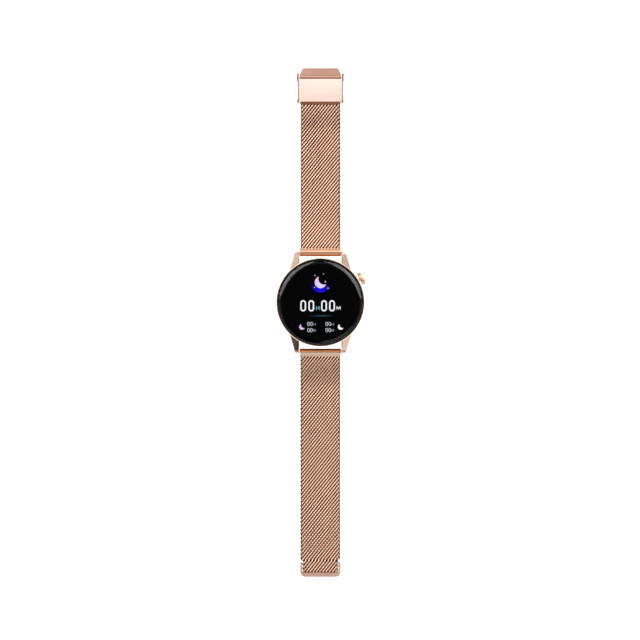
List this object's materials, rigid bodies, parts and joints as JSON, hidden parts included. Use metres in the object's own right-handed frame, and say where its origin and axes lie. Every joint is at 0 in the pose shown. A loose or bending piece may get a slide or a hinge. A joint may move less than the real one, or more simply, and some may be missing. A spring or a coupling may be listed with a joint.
{
  "type": "smartwatch",
  "caption": "Round smartwatch with a domed cover glass, side crown, facetted lugs and a woven metal mesh strap with a sliding lever clasp, laid out flat.",
  "frame": {"origin": "centre of the sensor window's resting face, on the surface that the watch lies on", "axes": "+X towards the crown side, +Y towards 12 o'clock along the strap, +Z out of the screen"},
  "size_m": [0.0433, 0.247, 0.0104],
  "materials": {
    "case_metal": "polished rose gold",
    "strap_metal": "woven rose gold steel wire",
    "clasp_metal": "polished rose gold",
    "tab_metal": "brushed rose gold",
    "pin_steel": "bright",
    "black_metal": "satin black",
    "screen_glass": "polished",
    "display": "black, lit",
    "seal_rubber": "matte",
    "flex_film": "amber film",
    "frame_plastic": "moulded",
    "board": "green solder mask",
    "chip": "moulded",
    "battery_wrap": "foil pouch",
    "back_plastic": "fine matte",
    "sensor_glass": "polished",
    "contact_gold": "plated",
    "magnet": "nickel plated"
  },
  "bodies": {
    "watch_case": {"case_body": "case_metal", "bezel_ring": "black_metal", "cover_glass": "screen_glass", "glass_seal": "seal_rubber", "display_panel": "display", "display_flex": "flex_film", "inner_frame": "frame_plastic", "main_board": "board", "board_chips": "chip", "battery": "battery_wrap", "motor_housing": "pin_steel", "back_cover": "back_plastic", "back_seal": "seal_rubber", "back_screws": "pin_steel", "charge_contacts": "contact_gold", "charge_magnets": "magnet", "sensor_window": "sensor_glass", "sensor_board": "board", "crown_tube": "pin_steel", "crown_spring": "pin_steel", "crown_switch": "frame_plastic", "short_bar_barrel": "pin_steel", "short_bar_spring": "pin_steel", "long_bar_barrel": "pin_steel", "long_bar_spring": "pin_steel"},
    "crown_slider": {"crown_washer": "pin_steel"},
    "crown": {"crown_stem": "pin_steel", "crown_knob": "case_metal", "crown_seal": "seal_rubber", "crown_clip": "pin_steel"},
    "switch_button": {"switch_plunger": "frame_plastic"},
    "motor_rotor": {"motor_rotor": "magnet"},
    "short_bar_tip": {"short_bar_tip": "pin_steel"},
    "long_bar_tip": {"long_bar_tip": "pin_steel"},
    "short_strap_1": {"short_end_fitting": "case_metal", "short_mesh_1": "strap_metal"},
    "short_strap_2": {"short_mesh_2": "strap_metal"},
    "short_strap_3": {"short_mesh_3": "strap_metal"},
    "short_strap_4": {"short_mesh_4": "strap_metal"},
    "short_strap_5": {"short_mesh_5": "strap_metal"},
    "short_strap_6": {"short_mesh_6": "strap_metal", "short_mesh_end_tube": "case_metal"},
    "clasp": {"clasp_frame": "clasp_metal", "clasp_mesh_pin": "pin_steel", "clasp_lever_pin": "pin_steel"},
    "clasp_lever": {"clasp_lever": "tab_metal"},
    "long_strap_1": {"long_end_fitting": "case_metal", "long_mesh_1": "strap_metal"},
    "long_strap_2": {"long_mesh_2": "strap_metal"},
    "long_strap_3": {"long_mesh_3": "strap_metal"},
    "long_strap_4": {"long_mesh_4": "strap_metal"},
    "long_strap_5": {"long_mesh_5": "strap_metal"},
    "long_strap_6": {"long_mesh_6": "strap_metal"},
    "long_strap_7": {"long_mesh_7": "strap_metal"},
    "long_strap_8": {"long_mesh_8": "strap_metal"},
    "long_strap_9": {"long_mesh_9": "strap_metal", "long_mesh_border": "tab_metal"}
  },
  "joints": [
    {"name": "crown_push", "type": "slide", "parent": "watch_case", "child": "crown_slider", "axis": [-0.8607, -0.509, 0], "range_m": [0, 0.0003], "stiffness_N_per_m": 2500, "deforming": ["crown_spring"]},
    {"name": "crown_turn", "type": "hinge", "parent": "crown_slider", "child": "crown", "pos_m": [0.01721, 0.01018, 0.0052], "axis": [0.8607, 0.509, 0], "continuous": true},
    {"name": "switch_press", "type": "slide", "parent": "watch_case", "child": "switch_button", "axis": [-0.8607, -0.509, 0], "range_m": [0, 0.0003]},
    {"name": "motor_spin", "type": "hinge", "parent": "watch_case", "child": "motor_rotor", "pos_m": [0.0106, -0.0062, 0.0039], "axis": [0, 0, 1], "continuous": true},
    {"name": "short_bar_release", "type": "slide", "parent": "watch_case", "child": "short_bar_tip", "axis": [-1, 0, 0], "range_m": [0, 0.001], "stiffness_N_per_m": 1500, "deforming": ["short_bar_spring"]},
    {"name": "long_bar_release", "type": "slide", "parent": "watch_case", "child": "long_bar_tip", "axis": [-1, 0, 0], "range_m": [0, 0.001], "stiffness_N_per_m": 1500, "deforming": ["long_bar_spring"]},
    {"name": "short_strap_swing", "type": "hinge", "parent": "watch_case", "child": "short_strap_1", "pos_m": [0, 0.0235, 0.0035], "axis": [1, 0, 0], "range_deg": [-50, 40]},
    {"name": "short_strap_curl_1", "type": "hinge", "parent": "short_strap_1", "child": "short_strap_2", "pos_m": [0, 0.03786, 0.00108], "axis": [1, 0, 0], "range_deg": [-15, 8]},
    {"name": "short_strap_curl_2", "type": "hinge", "parent": "short_strap_2", "child": "short_strap_3", "pos_m": [0, 0.04962, 0.00075], "axis": [1, 0, 0], "range_deg": [-15, 8]},
    {"name": "short_strap_curl_3", "type": "hinge", "parent": "short_strap_3", "child": "short_strap_4", "pos_m": [0, 0.06138, 0.00075], "axis": [1, 0, 0], "range_deg": [-15, 8]},
    {"name": "short_strap_curl_4", "type": "hinge", "parent": "short_strap_4", "child": "short_strap_5", "pos_m": [0, 0.07314, 0.00075], "axis": [1, 0, 0], "range_deg": [-15, 8]},
    {"name": "short_strap_curl_5", "type": "hinge", "parent": "short_strap_5", "child": "short_strap_6", "pos_m": [0, 0.0849, 0.00118], "axis": [1, 0, 0], "range_deg": [-15, 8]},
    {"name": "clasp_swing", "type": "hinge", "parent": "short_strap_6", "child": "clasp", "pos_m": [0, 0.0976, 0.0033], "axis": [1, 0, 0], "range_deg": [-35, 35]},
    {"name": "clasp_lever_open", "type": "hinge", "parent": "clasp", "child": "clasp_lever", "pos_m": [0, 0.1093, 0.0011], "axis": [1, 0, 0], "range_deg": [0, 90]},
    {"name": "long_strap_swing", "type": "hinge", "parent": "watch_case", "child": "long_strap_1", "pos_m": [0, -0.0235, 0.0035], "axis": [-1, 0, 0], "range_deg": [-50, 40]},
    {"name": "long_strap_curl_1", "type": "hinge", "parent": "long_strap_1", "child": "long_strap_2", "pos_m": [0, -0.03786, 0.00108], "axis": [-1, 0, 0], "range_deg": [-12, 6]},
    {"name": "long_strap_curl_2", "type": "hinge", "parent": "long_strap_2", "child": "long_strap_3", "pos_m": [0, -0.04962, 0.00075], "axis": [-1, 0, 0], "range_deg": [-12, 6]},
    {"name": "long_strap_curl_3", "type": "hinge", "parent": "long_strap_3", "child": "long_strap_4", "pos_m": [0, -0.06138, 0.00075], "axis": [-1, 0, 0], "range_deg": [-12, 6]},
    {"name": "long_strap_curl_4", "type": "hinge", "parent": "long_strap_4", "child": "long_strap_5", "pos_m": [0, -0.07314, 0.00075], "axis": [-1, 0, 0], "range_deg": [-12, 6]},
    {"name": "long_strap_curl_5", "type": "hinge", "parent": "long_strap_5", "child": "long_strap_6", "pos_m": [0, -0.0849, 0.00075], "axis": [-1, 0, 0], "range_deg": [-12, 6]},
    {"name": "long_strap_curl_6", "type": "hinge", "parent": "long_strap_6", "child": "long_strap_7", "pos_m": [0, -0.09666, 0.00075], "axis": [-1, 0, 0], "range_deg": [-12, 6]},
    {"name": "long_strap_curl_7", "type": "hinge", "parent": "long_strap_7", "child": "long_strap_8", "pos_m": [0, -0.10842, 0.00075], "axis": [-1, 0, 0], "range_deg": [-12, 6]},
    {"name": "long_strap_curl_8", "type": "hinge", "parent": "long_strap_8", "child": "long_strap_9", "pos_m": [0, -0.12018, 0.00075], "axis": [-1, 0, 0], "range_deg": [-12, 6]}
  ],
  "couplings": [
    {"joint": "switch_press", "follows": "crown_push", "ratio": 1},
    {"joint": "short_strap_curl_2", "follows": "short_strap_curl_1", "ratio": 1},
    {"joint": "short_strap_curl_3", "follows": "short_strap_curl_1", "ratio": 1},
    {"joint": "short_strap_curl_4", "follows": "short_strap_curl_1", "ratio": 1},
    {"joint": "short_strap_curl_5", "follows": "short_strap_curl_1", "ratio": 1},
    {"joint": "long_strap_curl_2", "follows": "long_strap_curl_1", "ratio": 1},
    {"joint": "long_strap_curl_3", "follows": "long_strap_curl_1", "ratio": 1},
    {"joint": "long_strap_curl_4", "follows": "long_strap_curl_1", "ratio": 1},
    {"joint": "long_strap_curl_5", "follows": "long_strap_curl_1", "ratio": 1},
    {"joint": "long_strap_curl_6", "follows": "long_strap_curl_1", "ratio": 1},
    {"joint": "long_strap_curl_7", "follows": "long_strap_curl_1", "ratio": 1},
    {"joint": "long_strap_curl_8", "follows": "long_strap_curl_1", "ratio": 1}
  ]
}
